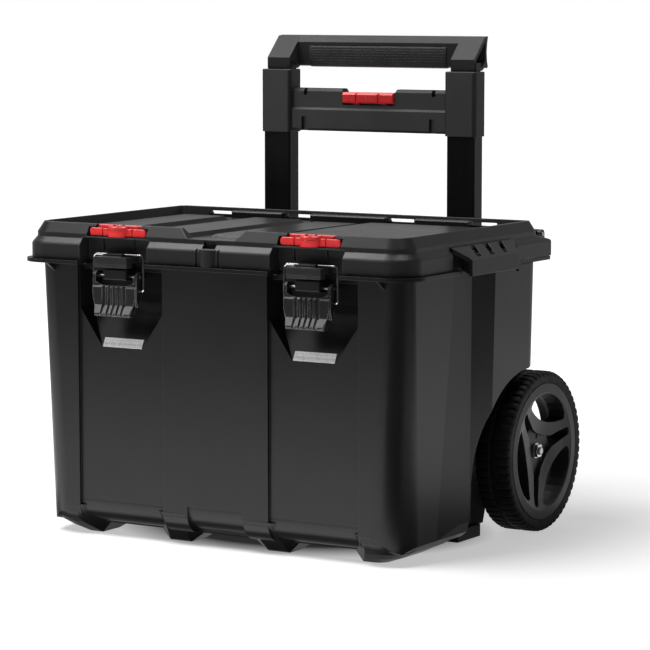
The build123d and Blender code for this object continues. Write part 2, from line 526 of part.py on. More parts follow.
def rim(x0, x1):
    # dished disc with three loops of constant width round three windows, slots
    # between the loops and a sunk hub; drawn about the X axis
    prof = [(x0 + 1, TYRE_RI), (x1 - 1.0, TYRE_RI), (x1 - 0.6, TYRE_RI - 0.8), (x1 - 0.6, 73.4), (x1 - 1.4, 71.6), (x1 - 4.5, 58),
            (x1 - 7.0, 38), (x1 - 9.0, 24), (x1 - 9.4, 0), (x1 - 27, 0), (x1 - 27, 30), (x1 - 25, 60), (x1 - 24, 72), (x1 - 32, 75.5),
            (x0 + 2, 79), (x0 + 1, 80)]
    r = revolve(Plane.XZ * face_of(prof), axis=Axis.X)
    hub_x = x1 - 13.5
    r += Pos((x0 + 3.3 + hub_x) / 2, 0, 0) * Rot(0, 90, 0) * Cylinder(17, hub_x - x0 - 3.3)

    def pol(rad, deg):
        return (rad * cos(radians(deg)), rad * sin(radians(deg)))

    def loc(k, t, e):
        # point given along (e) and to the left of (t) the axis of loop k
        a = radians(75 + 120 * k)
        return (e * cos(a) - t * sin(a), e * sin(a) + t * cos(a))

    recess = []
    for k in range(3):
        # window: shallow curve towards the hub, arc of the ring outside
        inner_e = [loc(k, t, 37 + 0.0048 * t * t) for t in (-46, -38, -28, -18, -9, 0, 9, 18, 28, 38, 46)]
        outer_e = [pol(WINDOW_R + (0.0 if abs(d) < 34 else -1.6), 75 + 120 * k + d) for d in (38, 34, 27, 18, 9, 0, -9, -18, -27, -34, -38)]
        w = extrude(Plane.YZ.offset(x0 - 5) * face_of(inner_e + outer_e), x1 - x0 + 10)
        w = fillet([e for e in w.edges().filter_by(Axis.X)
                    if abs((e.center().Y ** 2 + e.center().Z ** 2) ** 0.5 - 66.5) < 5.5
                    and abs(((degrees_of(e.center().Y, e.center().Z) - 75 - 120 * k + 180) % 360) - 180) > 36.5], 3.0)
        r -= w
        # slot between this loop and the next, half way between their axes
        a = 135 + 120 * k
        sl = extrude(Plane.YZ.offset(x0 - 5) * face_of([(30, -7.2), (30, 7.2), (40, 7.0), (52, 6.3), (66, 5.5), (69.5, 4.2), (70.6, 0),
                                                        (69.5, -4.2), (66, -5.5), (52, -6.3), (40, -7.0)]), x1 - x0 + 10)
        sl &= Pos(xc_of(x0, x1), 0, 0) * Rot(0, 90, 0) * (Cylinder(80, 80) - Cylinder(33.0, 80))
        r -= Rot(a, 0, 0) * sl
        recess += [loc(k, -20, 22.3), loc(k, -12, 20.6), loc(k, 12, 20.6), loc(k, 20, 22.3), pol(34.5, a - 11.6), pol(34.5, a + 11.6)]
    r -= extrude(Plane.YZ.offset(hub_x) * face_of(recess), 40)
    # three shallow pips round the hub
    for k in range(3):
        y, z = pol(17.5, 75 + 120 * k)
        r += Pos(hub_x, y, z) * Rot(0, 90, 0) * Cylinder(2.6, 2.4)
    r -= Pos(xc_of(x0, x1), 0, 0) * Rot(0, 90, 0) * Cylinder(AXLE_R + 0.05, 80)
    return Pos(0, WHEEL_Y, WHEEL_Z) * r


ty = tyre(WHEEL_X0, WHEEL_X1)
rm = rim(WHEEL_X0, WHEEL_X1)
save("tyre_right", ty)
save("tyre_left", mir(ty))
save("wheel_right", rm)
save("wheel_left", mir(rm))

HUB_X = WHEEL_X1 - 13.5          # the hub's outer face
axle = cyl_x(AXLE_R, WHEEL_Y, WHEEL_Z, -HUB_X - 1.4, HUB_X + 1.4)
axle += chamfer(cyl_x(5.0, WHEEL_Y, WHEEL_Z, -HUB_X - 8.5, HUB_X + 8.5).edges(), 1.0)
save("axle", axle)
# spacers between bracket and wheel, washers and nuts outside
spacers, wash, nuts = [], [], []
for s in (-1, 1):
    x0, x1 = sorted((s * 214.0, s * 236.2))
    spacers.append(cyl_x(9.0, WHEEL_Y, WHEEL_Z, x0, x1) - cyl_x(AXLE_R, WHEEL_Y, WHEEL_Z, x0 - 1, x1 + 1))
    x0, x1 = sorted((s * (HUB_X + 0.1), s * (HUB_X + 1.5)))
    wash.append(cyl_x(9.6, WHEEL_Y, WHEEL_Z, x0, x1) - cyl_x(AXLE_R, WHEEL_Y, WHEEL_Z, x0 - 1, x1 + 1))
    x0, x1 = sorted((s * (HUB_X + 1.5), s * (HUB_X + 5.9)))
    n = extrude(Plane.YZ.offset(x0) * Pos(WHEEL_Y, WHEEL_Z) * RegularPolygon(7.6, 6, major_radius=False), x1 - x0)
    nuts.append(n - cyl_x(5.0, WHEEL_Y, WHEEL_Z, x0 - 1, x1 + 1))
save("axle_spacers", *spacers)
save("axle_washers", *wash)
save("axle_nuts", *nuts)

# -------------------------------------------------------------- pull handle
def rect_tube(xc, yc, w, d, t, z0, z1, r=3.0):
    o = extrude(Plane.XY.offset(z0) * Pos(xc, yc) * RectangleRounded(w, d, r), z1 - z0)
    i = extrude(Plane.XY.offset(z0 - 1) * Pos(xc, yc) * RectangleRounded(w - 2 * t, d - 2 * t, max(r - t, 0.6)), z1 - z0 + 2)
    return o - i


for s, nm in ((-1, "left"), (1, "right")):
    c = s * XL
    save(f"tube_outer_{nm}", rect_tube(c, TUBE_YC, TUBE_W, TUBE_D, TUBE_T, TUBE_Z0, TUBE_Z1, 2.2))
    save(f"tube_inner_{nm}", rect_tube(c, INNER_YC, INNER_W, INNER_D, 1.4, INNER_Z0, 577.0, 2.0))
    # channel on the bin's back that the outer tube slides in
    g = box(c - 25, c + 25, TUBE_Y0 - 3.4, TUBE_Y0 + TUBE_D + 3.4, GUIDE_Z0, GUIDE_Z1)
    g = fillet(g.edges().filter_by(Axis.Z), 3)
    g += box(c - 20, c + 20, Y_BODY1, TUBE_Y0 - 3, 128, GUIDE_Z1 - 1.5)
    g += box(c - 36, c + 36, Y_BODY1, Y_BODY1 + 5, 128, GUIDE_Z1 - 1.5)
    for zz in (150, 230, 310):
        g -= box(c - 14, c + 14, Y_BODY1 + 6, TUBE_Y0 - 5, zz - 34 if zz > 150 else 134, zz + 14)
    g -= box(c - TUBE_W / 2 - 0.35, c + TUBE_W / 2 + 0.35, TUBE_Y0 - 0.35, TUBE_Y0 + TUBE_D + 0.35, GUIDE_Z0 + 2.0, GUIDE_Z1 + 5)
    for zz in (145, 310):
        for dx in (-30, 30):
            g -= cyl_y(2.2, c + dx, zz, Y_BODY1 - 5, Y_BODY1 + 10)
    save(f"tube_guide_{nm}", g)

# screws that hold the guides to the bin's back wall
scr = []
for s in (-1, 1):
    for zz in (145, 310):
        for dx in (-30, 30):
            x = s * XL + dx
            scr.append(cyl_y(4.2, x, zz, Y_BODY1 + 5.0, Y_BODY1 + 8.0) + cyl_y(2.2, x, zz, Y_BODY1, Y_BODY1 + 6.0))
save("guide_screws", *scr)

# bridge: two sleeves on the outer tubes and the beam that joins them
def sleeve(c):
    o = extrude(Plane.XY.offset(SLV_Z0) * Pos(c, TUBE_YC) * RectangleRounded(SLV_W, SLV_D, 5), SLV_Z1 - SLV_Z0)
    o = chamfer(o.faces().sort_by(Axis.Z)[-1].edges(), 1.0)
    o -= box(c - TUBE_W / 2, c + TUBE_W / 2, TUBE_YC - TUBE_D / 2, TUBE_YC + TUBE_D / 2, SLV_Z0 - 1, TUBE_Z1)
    o -= box(c - INNER_W / 2 - 0.4, c + INNER_W / 2 + 0.4, INNER_YC - INNER_D / 2 - 0.4, INNER_YC + INNER_D / 2 + 0.4, TUBE_Z1 - 1, SLV_Z1 + 1)
    return o


beam = Pos(0, BEAM_DY, 0) * yz([(376.6, 487), (375.2, 490), (375.2, 514), (377.4, 517), (378.2, 538), (381, 542), (392, 542), (395, 538), (395, 490), (392, 487)], -115, 115)
bridge = sleeve(-XL) + sleeve(XL) + beam
# hollow of the beam, open at the button's slot
bridge -= Pos(0, BEAM_DY, 0) * box(-110, 110, 380.6, 392, 491, 538)
# button slot in the top front edge
bridge -= Pos(0, BEAM_DY, 0) * box(-38.6, 38.6, 370, 388, 521.0, 545)
bridge -= xz([(-42, 546), (-38.6, 536.4), (38.6, 536.4), (42, 546)], 360, 400)
for x in (-95.0, 95.0):
    bridge -= Pos(0, BEAM_DY, 0) * box(x - 4.4, x + 4.4, 370, 378.8, 480, 505)
    bridge -= Pos(0, BEAM_DY, 0) * box(x - 2.4, x + 2.4, 370, 384.0, 533, 545)
save("handle_bridge", bridge)

btn = yz([(376.2, 523.4), (374.4, 525.6), (374.4, 534.4), (377.2, 537.6), (387.4, 537.6), (387.4, 523.4)], -37.6, 37.6)
btn = btn - xy([(-42, 370), (-35.4, 370), (-38.4, 380), (-42, 380)], 500, 560) - xy([(42, 370), (35.4, 370), (38.4, 380), (42, 380)], 500, 560)
for x in (-17.0, 16.0):
    btn -= box(x - 1.2, x + 1.2, 370, 376.4, 520, 545)
# stem down into the beam, guided between the beam's walls
for x in (-20, 20):
    btn += box(x - 4, x + 4, 381.4, 387.4, 500, 525)
save("release_button", Pos(0, BEAM_DY, 0) * btn)
save("button_springs", *[rect_tube(x, 384.4 + BEAM_DY, 7.0, 6.0, 1.2, 491.2, 499.8, 2.6) for x in (-20, 20)])

# grip: two legs that rise from the sleeves and lean back, with the bar behind
LEG_HW = 16.8
leg_prof = [(374.2, 567), (374.2, 581), (402, 609), (411, 610), (408.6, 600), (407.4, 590), (408.6, 579), (411, 571.5), (408, 570), (404, 572), (396, 567)]


def leg(c):
    l = yz(leg_prof, c - LEG_HW, c + LEG_HW)
    # the outer end of the leg is hollow behind its front skin
    s = 1 if c > 0 else -1
    l -= yz([(380, 571), (380, 580), (403, 603), (405, 600), (404.4, 590), (405, 580), (402, 575.5), (397, 571)],
            *sorted((c + s * (LEG_HW - 14), c + s * (LEG_HW + 5))))
    l -= box(c - INNER_W / 2, c + INNER_W / 2, INNER_YC - INNER_D / 2, INNER_YC + INNER_D / 2, 560, 577.0)
    return l


bar = yz([(395, 573.5), (395, 601), (402, 609), (411, 610), (408.6, 600), (407.4, 590), (408.6, 579), (411, 571.5), (402, 569.8), (397, 570.8)], -121, 121)
grip = leg(-XL) + leg(XL) + bar
pocket_g = yz([(390, 566), (390, 597), (397.4, 597), (397.4, 575.5), (399.5, 573), (408.6, 573), (409, 566)], -102, 102)
pocket_g = fillet([e for e in pocket_g.edges().filter_by(Axis.Y) if e.center().Z > 590], 2.0)
grip -= pocket_g
save("grip", grip)
ins = yz([(394.0, 574), (394.0, 594), (396, 596.6), (397.4, 596.6), (397.4, 575.5), (399.5, 573), (408.2, 573), (408.2, 569.6), (399, 568.8), (396, 570)], -101.6, 101.6)
save("grip_insert", ins)
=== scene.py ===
import bpy
import bmesh
import json
import math
import random
from mathutils import Matrix, Vector

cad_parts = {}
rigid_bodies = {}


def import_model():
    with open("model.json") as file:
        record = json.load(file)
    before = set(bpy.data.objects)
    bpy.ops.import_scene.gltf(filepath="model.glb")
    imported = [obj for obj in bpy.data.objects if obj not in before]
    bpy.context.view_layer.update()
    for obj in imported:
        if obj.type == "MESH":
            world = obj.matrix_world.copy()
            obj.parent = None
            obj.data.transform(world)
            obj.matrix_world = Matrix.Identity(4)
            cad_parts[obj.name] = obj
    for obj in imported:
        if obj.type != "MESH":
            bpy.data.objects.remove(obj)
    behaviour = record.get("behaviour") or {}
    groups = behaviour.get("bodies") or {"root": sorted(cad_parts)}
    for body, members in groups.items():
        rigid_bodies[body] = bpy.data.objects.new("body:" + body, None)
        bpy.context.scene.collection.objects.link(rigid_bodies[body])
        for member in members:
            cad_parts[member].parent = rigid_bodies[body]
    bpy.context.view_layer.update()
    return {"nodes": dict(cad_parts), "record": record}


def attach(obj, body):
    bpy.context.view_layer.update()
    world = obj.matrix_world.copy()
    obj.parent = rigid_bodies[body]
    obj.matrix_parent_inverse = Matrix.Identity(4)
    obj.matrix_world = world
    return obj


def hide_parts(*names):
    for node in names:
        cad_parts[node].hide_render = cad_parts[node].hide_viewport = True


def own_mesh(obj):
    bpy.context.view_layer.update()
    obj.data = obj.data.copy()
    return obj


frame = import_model()
NODES = frame["nodes"]
random.seed(7)


# ------------------------------------------------------------------ materials
class Mat:
    """Small helper round one node material."""

    def __init__(self, name):
        self.m = bpy.data.materials.new(name)
        self.m.use_nodes = True
        self.t = self.m.node_tree
        self.t.nodes.clear()
        self.out = self.t.nodes.new("ShaderNodeOutputMaterial")
        self.b = self.t.nodes.new("ShaderNodeBsdfPrincipled")
        self.t.links.new(self.b.outputs[0], self.out.inputs[0])
        self.co = self.t.nodes.new("ShaderNodeTexCoord").outputs["Object"]

    def n(self, kind, **kw):
        nd = self.t.nodes.new(kind)
        for k, v in kw.items():
            if hasattr(nd, k):
                setattr(nd, k, v)
            else:
                nd.inputs[k].default_value = v
        return nd

    def link(self, a, b):
        self.t.links.new(a, b)

    def noise(self, scale, detail=3.0, rough=0.55, vec=None, dist=0.0):
        nd = self.n("ShaderNodeTexNoise")
        nd.inputs["Scale"].default_value = scale
        nd.inputs["Detail"].default_value = detail
        nd.inputs["Roughness"].default_value = rough
        nd.inputs["Distortion"].default_value = dist
        self.link(vec if vec is not None else self.co, nd.inputs["Vector"])
        return nd.outputs["Fac"]

    def remap(self, src, a, b, c, d):
        nd = self.n("ShaderNodeMapRange")
        nd.inputs["From Min"].default_value = a
        nd.inputs["From Max"].default_value = b
        nd.inputs["To Min"].default_value = c
        nd.inputs["To Max"].default_value = d
        self.link(src, nd.inputs["Value"])
        return nd.outputs["Result"]

    def math(self, op, a, b=None):
        nd = self.n("ShaderNodeMath", operation=op)
        for i, v in enumerate((a, b)):
            if v is None:
                continue
            if isinstance(v, (int, float)):
                nd.inputs[i].default_value = v
            else:
                self.link(v, nd.inputs[i])
        return nd.outputs[0]

    def mix(self, fac, a, b):
        nd = self.n("ShaderNodeMix", data_type="RGBA")
        if isinstance(fac, (int, float)):
            nd.inputs[0].default_value = fac
        else:
            self.link(fac, nd.inputs[0])
        for i, v in ((6, a), (7, b)):
            if isinstance(v, tuple):
                nd.inputs[i].default_value = (*v, 1.0)
            else:
                self.link(v, nd.inputs[i])
        return nd.outputs[2]

    def stretch(self, sx, sy, sz):
        nd = self.n("ShaderNodeMapping")
        nd.inputs["Scale"].default_value = (sx, sy, sz)
        self.link(self.co, nd.inputs["Vector"])
        return nd.outputs[0]

    def bump(self, height, dist, strength=1.0, normal=None):
        nd = self.n("ShaderNodeBump")
        nd.inputs["Strength"].default_value = strength
        nd.inputs["Distance"].default_value = dist
        self.link(height, nd.inputs["Height"])
        if normal is not None:
            self.link(normal, nd.inputs["Normal"])
        return nd.outputs[0]

    def edge(self, radius):
        nd = self.n("ShaderNodeBevel", samples=4)
        nd.inputs["Radius"].default_value = radius
        return nd.outputs[0]

    def edge_mask(self, radius, lo=0.02, hi=0.22):
        """0 on flats, 1 on edges: how far the rounded normal leans from the real one."""
        bv = self.edge(radius)
        ge = self.n("ShaderNodeNewGeometry").outputs["Normal"]
        d = self.n("ShaderNodeVectorMath", operation="DOT_PRODUCT")
        self.link(bv, d.inputs[0])
        self.link(ge, d.inputs[1])
        inv = self.math("SUBTRACT", 1.0, d.outputs["Value"])
        return self.remap(inv, lo, hi, 0.0, 1.0)


def moulded(name, lo, hi, rough=(0.36, 0.47), grain=1400.0, grain_d=0.00006, r_edge=0.0009,
            spec=0.5, wear_and_highlight=0.10, wear_and_highlight_col=(0.11, 0.11, 0.112), flow=None, coat=0.0):
    """Injection-moulded polypropylene: fine spark-eroded grain, faint flow marks,
    handling marks, edges lightened in colour: partly handling wear, partly a painted highlight."""
    k = Mat(name)
    big = k.noise(7.0, 2.0, 0.5)
    mid = k.noise(60.0, 3.0, 0.6)
    mixf = k.math("ADD", k.math("MULTIPLY", big, 0.65), k.math("MULTIPLY", mid, 0.35))
    col = k.mix(k.remap(mixf, 0.3, 0.7, 0.0, 1.0), lo, hi)
    # edges mix towards a lighter colour: partly edge wear, partly a painted highlight along the rounded edges
    em = k.edge_mask(r_edge * 1.6)
    patch = k.remap(k.noise(35.0, 4.0, 0.65), 0.38, 0.68, 0.15, 1.0)
    em = k.math("MULTIPLY", em, patch)
    em = k.math("MULTIPLY", em, wear_and_highlight * 2.2)
    col = k.mix(em, col, wear_and_highlight_col)
    k.link(col, k.b.inputs["Base Color"])
    rv = k.remap(k.math("ADD", k.math("MULTIPLY", k.noise(18.0, 4.0, 0.6), 0.6),
                        k.math("MULTIPLY", k.noise(420.0, 2.0, 0.5), 0.4)), 0.3, 0.7, rough[0], rough[1])
    scr = k.noise(90.0, 2.0, 0.5, vec=k.stretch(0.15, 1.0, 9.0))
    rv = k.math("ADD", rv, k.remap(scr, 0.52, 0.74, 0.0, 0.014))
    k.link(rv, k.b.inputs["Roughness"])
    k.b.inputs["Specular IOR Level"].default_value = spec
    if coat:
        k.b.inputs["Coat Weight"].default_value = coat
        k.b.inputs["Coat Roughness"].default_value = 0.18
    g = k.noise(grain, 2.0, 0.6)
    g2 = k.noise(grain * 0.35, 2.0, 0.5)
    h = k.math("ADD", k.math("MULTIPLY", g, 0.7), k.math("MULTIPLY", g2, 0.3))
    nrm = k.bump(h, grain_d, 0.8, k.edge(r_edge))
    if flow:
        wv = k.noise(2.6, 1.0, 0.4, vec=k.stretch(*flow))
        nrm = k.bump(wv, 0.0006, 0.5, nrm)
    k.link(nrm, k.b.inputs["Normal"])
    return k.m


def rubber(name, lo, hi, rough=(0.6, 0.75), r_edge=0.0008, dusty=0.0, dust_col=(0.09, 0.085, 0.08), spec=0.42):
    k = Mat(name)
    f = k.remap(k.noise(45.0, 4.0, 0.6), 0.3, 0.7, 0.0, 1.0)
    col = k.mix(f, lo, hi)
    if dusty:
        d = k.remap(k.noise(22.0, 5.0, 0.7), 0.45, 0.75, 0.0, dusty)
        col = k.mix(d, col, dust_col)
    em = k.math("MULTIPLY", k.edge_mask(r_edge * 1.5), 0.28)
    col = k.mix(em, col, dust_col)
    k.link(col, k.b.inputs["Base Color"])
    k.link(k.remap(k.noise(120.0, 3.0, 0.6), 0.3, 0.7, rough[0], rough[1]), k.b.inputs["Roughness"])
    k.b.inputs["Specular IOR Level"].default_value = spec
    h = k.math("ADD", k.math("MULTIPLY", k.noise(2200.0, 2.0, 0.6), 0.6), k.math("MULTIPLY", k.noise(500.0, 2.0, 0.6), 0.4))
    k.link(k.bump(h, 0.00014, 0.9, k.edge(r_edge)), k.b.inputs["Normal"])
    return k.m


def metal(name, base, dark, rough=(0.12, 0.25), brush=(1.0, 1.0, 30.0), brush_d=0.00002, r_edge=0.0004, stain=0.25):
    k = Mat(name)
    f = k.remap(k.noise(70.0, 4.0, 0.6), 0.42, 0.72, 0.0, stain)
    col = k.mix(f, base, dark)
    k.link(col, k.b.inputs["Base Color"])
    k.b.inputs["Metallic"].default_value = 1.0
    k.link(k.remap(k.noise(260.0, 3.0, 0.6), 0.3, 0.7, rough[0], rough[1]), k.b.inputs["Roughness"])
    line = k.noise(900.0, 2.0, 0.6, vec=k.stretch(*brush))
    k.link(k.bump(line, brush_d, 0.6, k.edge(r_edge)), k.b.inputs["Normal"])
    return k.m


MATS = {
    "black_pp": moulded("box_moulding", (0.0046, 0.0047, 0.0054), (0.0070, 0.0072, 0.0080), rough=(0.29, 0.36), wear_and_highlight=0.10, flow=(3.0, 3.0, 0.5)),
    # on the lid and the latches the light edge colour is mostly a painted highlight along the rounded edges, ribs
    # and lips, with some edge wear
    "lid_pp": moulded("lid_moulding", (0.0135, 0.0135, 0.0140), (0.0190, 0.0189, 0.0192), rough=(0.30, 0.39), wear_and_highlight=0.22, r_edge=0.0014, wear_and_highlight_col=(0.14, 0.14, 0.142)),
    "latch_plastic": moulded("latch_moulding", (0.0080, 0.0080, 0.0085), (0.0115, 0.0115, 0.0120), rough=(0.24, 0.33), grain=1900, r_edge=0.0007, wear_and_highlight=0.8, wear_and_highlight_col=(0.26, 0.26, 0.265)),
    "wheel_plastic": moulded("wheel_moulding", (0.0075, 0.0075, 0.0080), (0.0110, 0.0110, 0.0115), rough=(0.36, 0.48), r_edge=0.0010, wear_and_highlight=0.2),
    "handle_pp": moulded("handle_moulding", (0.017, 0.0171, 0.0175), (0.024, 0.0242, 0.0246), rough=(0.40, 0.52), wear_and_highlight=0.16, spec=0.34),
    "red_plastic": moulded("red_moulding", (0.68, 0.020, 0.022), (0.82, 0.030, 0.032), rough=(0.24, 0.33), grain=2400, grain_d=0.00005,
                           r_edge=0.0007, wear_and_highlight=0.18, wear_and_highlight_col=(0.90, 0.16, 0.15), spec=0.5),
    "seal_rubber": rubber("seal_foam_rubber", (0.012, 0.012, 0.012), (0.02, 0.02, 0.02)),
    "tyre_black": rubber("tyre_rubber", (0.0032, 0.0032, 0.0034), (0.0056, 0.0056, 0.0058), rough=(0.52, 0.68), dusty=0.05, spec=0.25),
    "grip_soft": rubber("grip_soft_touch", (0.020, 0.020, 0.021), (0.032, 0.032, 0.033), rough=(0.40, 0.52), r_edge=0.0003),
    "bright_wire": metal("bright_zinc_wire", (0.90, 0.90, 0.92), (0.66, 0.66, 0.67), rough=(0.08, 0.18)),
    "steel_pin": metal("zinc_steel", (0.72, 0.72, 0.74), (0.45, 0.44, 0.42), rough=(0.22, 0.38)),
}


def anodised():
    k = Mat("black_anodised_tube")
    f = k.remap(k.noise(30.0, 3.0, 0.6), 0.3, 0.7, 0.0, 1.0)
    col = k.mix(f, (0.0090, 0.0090, 0.0098), (0.0140, 0.0140, 0.0150))
    # fine rub marks along the tube from sliding
    st = k.noise(160.0, 3.0, 0.6, vec=k.stretch(1.0, 1.0, 0.02))
    rub = k.remap(st, 0.58, 0.72, 0.0, 0.12)
    col = k.mix(rub, col, (0.05, 0.05, 0.052))
    em = k.math("MULTIPLY", k.edge_mask(0.0012), 0.35)
    col = k.mix(em, col, (0.16, 0.16, 0.165))
    k.link(col, k.b.inputs["Base Color"])
    k.b.inputs["Metallic"].default_value = 0.35
    k.link(k.remap(st, 0.3, 0.7, 0.30, 0.42), k.b.inputs["Roughness"])
    k.link(k.bump(st, 0.00001, 0.4, k.edge(0.0008)), k.b.inputs["Normal"])
    return k.m


def reflective():
    """White retro-reflective sheet: tiny closed cells in a diamond lattice."""
    k = Mat("reflective_sheet")
    vo = k.n("ShaderNodeTexVoronoi", feature="DISTANCE_TO_EDGE")
    vo.inputs["Scale"].default_value = 330.0
    vo.inputs["Randomness"].default_value = 0.0
    k.link(k.stretch(1.0, 0.6, 1.0), vo.inputs["Vector"])
    cell = k.remap(vo.outputs["Distance"], 0.02, 0.12, 0.0, 1.0)
    col = k.mix(cell, (0.48, 0.48, 0.49), (0.72, 0.72, 0.73))
    dirt = k.remap(k.noise(50.0, 4.0, 0.65), 0.45, 0.75, 0.0, 0.18)
    col = k.mix(dirt, col, (0.33, 0.33, 0.33))
    k.link(col, k.b.inputs["Base Color"])
    k.link(k.remap(k.noise(140.0, 2.0, 0.5), 0.3, 0.7, 0.22, 0.36), k.b.inputs["Roughness"])
    k.b.inputs["Metallic"].default_value = 0.10
    k.link(k.bump(vo.outputs["Distance"], 0.0002, 0.35, k.edge(0.0003)), k.b.inputs["Normal"])
    return k.m


MATS["tube_metal"] = anodised()
MATS["reflective"] = reflective()

SLOT = {s["node"]: s["material_slot"] for s in frame["record"]["subparts"]}


def dress(o, mat):
    o.data.materials.clear()
    o.data.materials.append(mat)


for name, o in NODES.items():
    dress(o, MATS[SLOT[name]])


# ----------------------------------------------------------------- mesh tools
def new_obj(name, verts, faces, mat, smooth=True, sharp=40.0):
    me = bpy.data.meshes.new(name)
    me.from_pydata([tuple(v) for v in verts], [], faces)
    me.validate()
    bm = bmesh.new()
    bm.from_mesh(me)
    bmesh.ops.remove_doubles(bm, verts=bm.verts, dist=1e-6)
    bmesh.ops.recalc_face_normals(bm, faces=bm.faces)
    bm.to_mesh(me)
    bm.free()
    o = bpy.data.objects.new(name, me)
    bpy.context.scene.collection.objects.link(o)
    me.materials.append(mat)
    for p in me.polygons:
        p.use_smooth = smooth
    if smooth:
        me.set_sharp_from_angle(angle=math.radians(sharp))
    return o


def add_bevel(o, width, segments=2, angle=35.0):
    m = o.modifiers.new("round", "BEVEL")
    m.width = width
    m.segments = segments
    m.limit_method = "ANGLE"
    m.angle_limit = math.radians(angle)
    m.harden_normals = False
    return m


YM = 211.5


def P(x, y, z):
    """Layout millimetres to metres in the shared frame."""
    return Vector((x / 1000.0, (y - YM) / 1000.0, z / 1000.0))


# --------------------------------------------------------------------- camera
cam_data = bpy.data.cameras.new("photo_camera")
cam = bpy.data.objects.new("photo_camera", cam_data)
bpy.context.scene.collection.objects.link(cam)
cam_data.sensor_fit = "HORIZONTAL"
cam_data.sensor_width = 36.0
cam_data.lens = 165.397
cam_data.clip_start = 0.1
cam_data.clip_end = 60.0
cam.location = (1.94385, -3.15150, 0.66577)
yaw, pitch = math.radians(31.2288), math.radians(6.3630)
fwd = Vector((-math.sin(yaw) * math.cos(pitch), math.cos(yaw) * math.cos(pitch), -math.sin(pitch)))
cam.rotation_euler = fwd.to_track_quat("-Z", "Y").to_euler()
bpy.context.scene.camera = cam

# ---------------------------------------------------------------------- stage
def stage_floor():
    k = Mat("pale_floor")
    f = k.remap(k.noise(3.0, 2.0, 0.5), 0.3, 0.7, 0.0, 1.0)
    k.link(k.mix(f, (0.84, 0.84, 0.84), (0.87, 0.87, 0.87)), k.b.inputs["Base Color"])
    k.b.inputs["Roughness"].default_value = 0.9
    k.b.inputs["Specular IOR Level"].default_value = 0.1
    # the floor glows a little more the further it is from the object, like a lit cove
    ln = k.n("ShaderNodeVectorMath", operation="LENGTH")
    k.link(k.stretch(0.8, 1.0, 1.0), ln.inputs[0])
    far = k.remap(ln.outputs["Value"], 0.40, 1.3, FLOOR_GLOW, 1.0)
    # close round the object the glow drops almost to nothing: a painted contact shadow under the object
    glow_and_painted_contact_shadow = k.math("MINIMUM", k.remap(ln.outputs["Value"], 0.14, 0.27, 0.02, 1.0), far)
    k.b.inputs["Emission Color"].default_value = (1.0, 1.0, 1.0, 1.0)
    k.link(glow_and_painted_contact_shadow, k.b.inputs["Emission Strength"])
    s = 16.0
    fl = new_obj("stage_floor", [(-s, -s, 0), (s, -s, 0), (s, s, 0), (-s, s, 0)], [(0, 1, 2, 3)], k.m, smooth=False)
    fl.visible_glossy = False
    return fl


FLOOR_GLOW = 0.50
FLOOR = stage_floor()


def area(name, loc, target, size, size_y, radiance, color=(1, 1, 1), only=None):
    """Soft box given by its radiance, so that its size can change alone."""
    d = bpy.data.lights.new(name, "AREA")
    d.shape = "RECTANGLE"
    d.size = size
    d.size_y = size_y
    d.energy = radiance * math.pi * size * size_y
    d.color = color
    o = bpy.data.objects.new(name, d)
    o.location = loc
    o.rotation_euler = (Vector(target) - Vector(loc)).to_track_quat("-Z", "Y").to_euler()
    o.visible_camera = False
    bpy.context.scene.collection.objects.link(o)
    if only is not None:
        c = bpy.data.collections.new(name + "_receivers")
        for r in only:
            c.objects.link(r)
        o.light_linking.receiver_collection = c
    return o


def flat_card(name, cx, cy, z, sx, sy, radiance, turn=0.0):
    """A lit card lying on the floor, face up, seen only in reflections."""
    o = area(name, (cx, cy, z), (cx, cy, z + 1.0), sx, sy, radiance)
    o.rotation_euler = (math.pi, 0.0, turn)
    return o


# light that only the floor takes, for the soft shadow that falls to the right
area("floor_key", (-0.72, -1.05, 2.8), (0, 0.1, 0), 1.6, 1.6, 8.6, only=[FLOOR])
# soft boxes: above left with a brighter heart for the rounded edges, straight
# above, behind right, and lit floor in front on the left and on the right
area("top_box", (-1.1, -0.35, 2.1), (0, 0.05, 0.3), 1.7, 1.4, 1.2)
area("top_heart", (-1.02, -0.38, 2.0), (0, 0.0, 0.3), 0.75, 0.65, 7.0)
area("over_box", (0.1, 0.3, 2.3), (0, 0.05, 0.3), 1.3, 1.0, 8.5)
# low card in front of the pull handle, which stands above the other cards' reach
area("handle_card", (-1.29, -1.95, 0.245), (0, 0.17, 0.52), 1.7, 0.7, 2.4, only=[NODES["handle_bridge"]])
flat_card("front_card_near", -0.75, -0.692, 0.010, 2.1, 0.98, 1.25)
# front left, high: sheen on faces that lean back, and on the latches' lips
area("lean_box", (-1.5, -1.9, 2.1), (0, -0.2, 0.3), 1.5, 1.0, 0.9)
area("lip_box", (-1.48, -1.75, 2.1), (0, -0.2, 0.3), 1.3, 1.1, 4.5, only=[NODES[n] for n in ("latch_lever_left", "latch_lever_right")])
area("right_card", (1.15, 1.75, 0.45), (0.26, 0.0, 0.2), 1.1, 0.95, 0.27)
flat_card("right_floor", 0.78, 0.86, 0.011, 0.9, 1.55, 0.52, turn=math.radians(-28))
flat_card("side_floor", 1.05, 0.04, 0.010, 0.9, 0.75, 0.5)

# lit floor behind and on the left, for the sides that the main view doesn't show
flat_card("rear_floor", -0.45, 1.05, 0.010, 1.7, 1.1, 0.9)
flat_card("left_floor", -0.86, 0.10, 0.012, 0.9, 0.55, 0.8)

